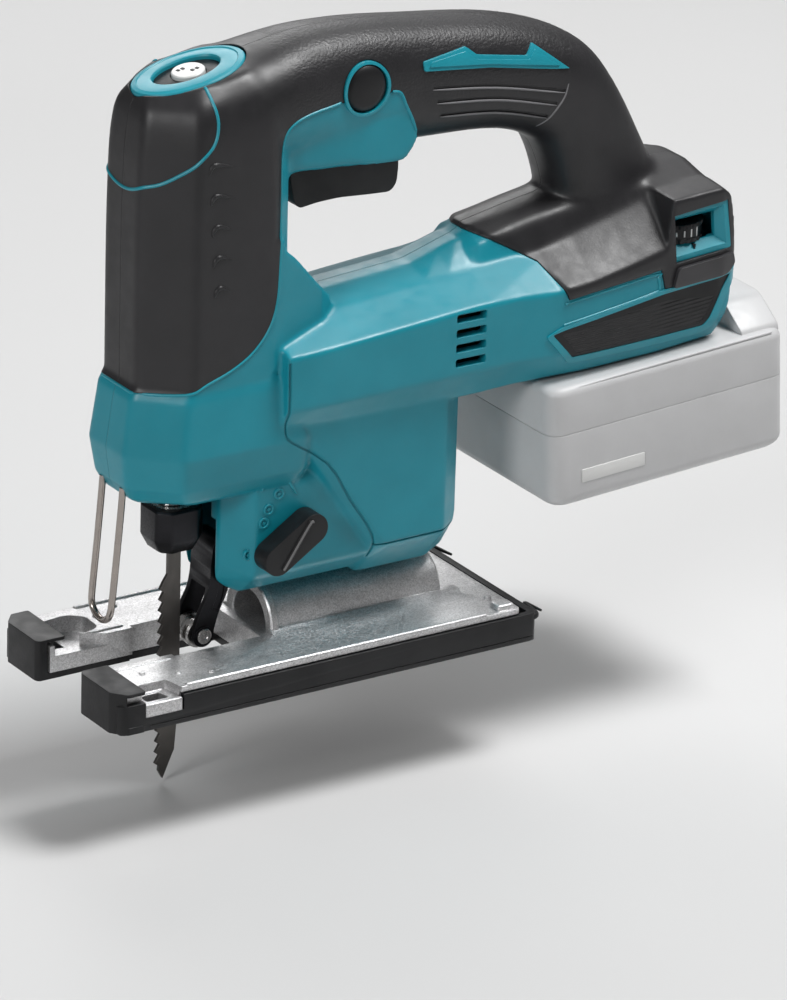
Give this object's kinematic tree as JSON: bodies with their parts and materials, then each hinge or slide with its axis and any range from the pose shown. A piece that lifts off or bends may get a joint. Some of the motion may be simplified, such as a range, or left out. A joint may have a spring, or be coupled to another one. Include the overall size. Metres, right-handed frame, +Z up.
{
  "type": "cordless jigsaw",
  "caption": "D-handle cordless jigsaw with a tilting sole plate, blade clamp, guide roller, trigger, lock button and slide-off battery.",
  "frame": {"origin": "centre of the sole's underside", "axes": "+Z up from the sole, -X towards the blade, -Y the side with the orbital lever"},
  "size_m": [0.2707, 0.0778, 0.2605],
  "materials": {
    "teal": "satin",
    "rubber": "fine grain",
    "black_plastic": "satin",
    "white_plastic": "satin",
    "cast_aluminium": "cast, sparkly satin",
    "steel": "machined",
    "blade_steel": "dark ground steel",
    "black_steel": "black oxide",
    "copper": "wound and varnished",
    "brass": "sintered bush",
    "board_green": "matte",
    "lens": "clear",
    "battery_grey": "satin"
  },
  "bodies": {
    "housing": {"housing_left": "teal", "housing_right": "teal", "overmould_left": "rubber", "overmould_right": "rubber", "top_ring": "teal", "mode_panel": "black_plastic", "switch_unit": "black_plastic", "handle_accent_left": "teal", "handle_accent_right": "teal", "motor_stator": "copper", "front_bearing": "steel", "rear_bearing": "steel", "gear_axle": "steel", "guide_bush_lower": "brass", "guide_bush_upper": "brass", "fork_pivot": "steel", "wire_guard": "steel", "terminal_block": "black_plastic", "control_board": "board_green", "lamp_lens": "lens", "housing_screw_1": "steel", "housing_screw_2": "steel", "housing_screw_3": "steel", "housing_screw_4": "steel", "housing_screw_5": "steel"},
    "base": {"base_plate": "cast_aluminium", "base_cover": "black_plastic", "base_bolt": "black_steel"},
    "plunger": {"plunger_rod": "steel", "plunger_yoke": "steel", "clamp_body": "steel", "saw_blade": "blade_steel"},
    "clamp_collar": {"clamp_sleeve": "black_steel"},
    "balance": {"counterweight": "steel"},
    "crank": {"crank_gear": "steel", "crank_pin": "steel"},
    "rotor": {"rotor_core": "steel", "rotor_shaft": "steel", "cooling_fan": "black_plastic", "pinion": "steel"},
    "fork": {"roller_fork": "black_steel", "roller_pin": "steel"},
    "roller": {"guide_roller": "steel"},
    "lever": {"orbital_lever": "black_plastic"},
    "trigger": {"trigger": "black_plastic"},
    "lock": {"lock_button": "black_plastic"},
    "mode": {"mode_button": "white_plastic"},
    "dial": {"speed_dial": "black_plastic"},
    "battery": {"battery_case_lower": "battery_grey", "battery_case_upper": "battery_grey", "battery_cells": "teal"},
    "battery_latch": {"battery_button": "black_plastic"},
    "key": {"hex_key": "black_steel"}
  },
  "joints": [
    {"name": "base_tilt", "type": "hinge", "parent": "housing", "child": "base", "pos_m": [0.025, 0, 0.013], "axis": [1, 0, 0], "range_deg": [-45, 45]},
    {"name": "plunger_stroke", "type": "slide", "parent": "housing", "child": "plunger", "axis": [0, 0, 1], "range_m": [-0.013, 0.013]},
    {"name": "clamp_turn", "type": "hinge", "parent": "plunger", "child": "clamp_collar", "pos_m": [-0.041, 0, 0.054], "axis": [0, 0, 1], "range_deg": [0, 60], "stiffness_Nm_per_rad": 0.05},
    {"name": "balance_stroke", "type": "slide", "parent": "housing", "child": "balance", "axis": [0, 0, 1], "range_m": [-0.013, 0.013]},
    {"name": "crank_spin", "type": "hinge", "parent": "housing", "child": "crank", "pos_m": [-0.02336, 0, 0.12698], "axis": [0.9977, 0, 0.068], "continuous": true},
    {"name": "rotor_spin", "type": "hinge", "parent": "housing", "child": "rotor", "pos_m": [0.04, 0, 0.1092], "axis": [0.9977, 0, 0.068], "continuous": true},
    {"name": "fork_swing", "type": "hinge", "parent": "housing", "child": "fork", "pos_m": [-0.0245, 0, 0.044], "axis": [0, -1, 0], "range_deg": [0, 4]},
    {"name": "roller_spin", "type": "hinge", "parent": "fork", "child": "roller", "pos_m": [-0.0315, 0, 0.0135], "axis": [0, 1, 0], "continuous": true},
    {"name": "orbital_turn", "type": "hinge", "parent": "housing", "child": "lever", "pos_m": [-0.01, -0.022, 0.0508], "axis": [0, 1, 0], "range_deg": [0, 66]},
    {"name": "trigger_pull", "type": "hinge", "parent": "housing", "child": "trigger", "pos_m": [0.001, 0, 0.172], "axis": [0, -1, 0], "range_deg": [0, 7], "stiffness_Nm_per_rad": 0.8, "springref_deg": -5.73},
    {"name": "lock_push", "type": "slide", "parent": "housing", "child": "lock", "axis": [0, 1, 0], "range_m": [0, 0.003]},
    {"name": "mode_press", "type": "slide", "parent": "housing", "child": "mode", "axis": [0.2079, 0, -0.9781], "range_m": [0, 0.0012], "stiffness_N_per_m": 600, "springref_m": -0.001},
    {"name": "dial_turn", "type": "hinge", "parent": "housing", "child": "dial", "pos_m": [0.145, -0.0205, 0.1345], "axis": [0, 0, 1], "range_deg": [-120, 120]},
    {"name": "battery_slide", "type": "slide", "parent": "housing", "child": "battery", "axis": [0.9982, 0, 0.0593], "range_m": [0, 0.11]},
    {"name": "battery_latch_press", "type": "slide", "parent": "battery", "child": "battery_latch", "axis": [-0.9982, 0, -0.0593], "range_m": [0, 0.003], "stiffness_N_per_m": 800, "springref_m": -0.001},
    {"name": "key_pull", "type": "slide", "parent": "housing", "child": "key", "axis": [1, 0, 0], "range_m": [0, 0.014]}
  ],
  "couplings": [
    {"joint": "rotor_spin", "follows": "crank_spin", "ratio": -4.4444},
    {"joint": "balance_stroke", "follows": "plunger_stroke", "ratio": -1}
  ]
}
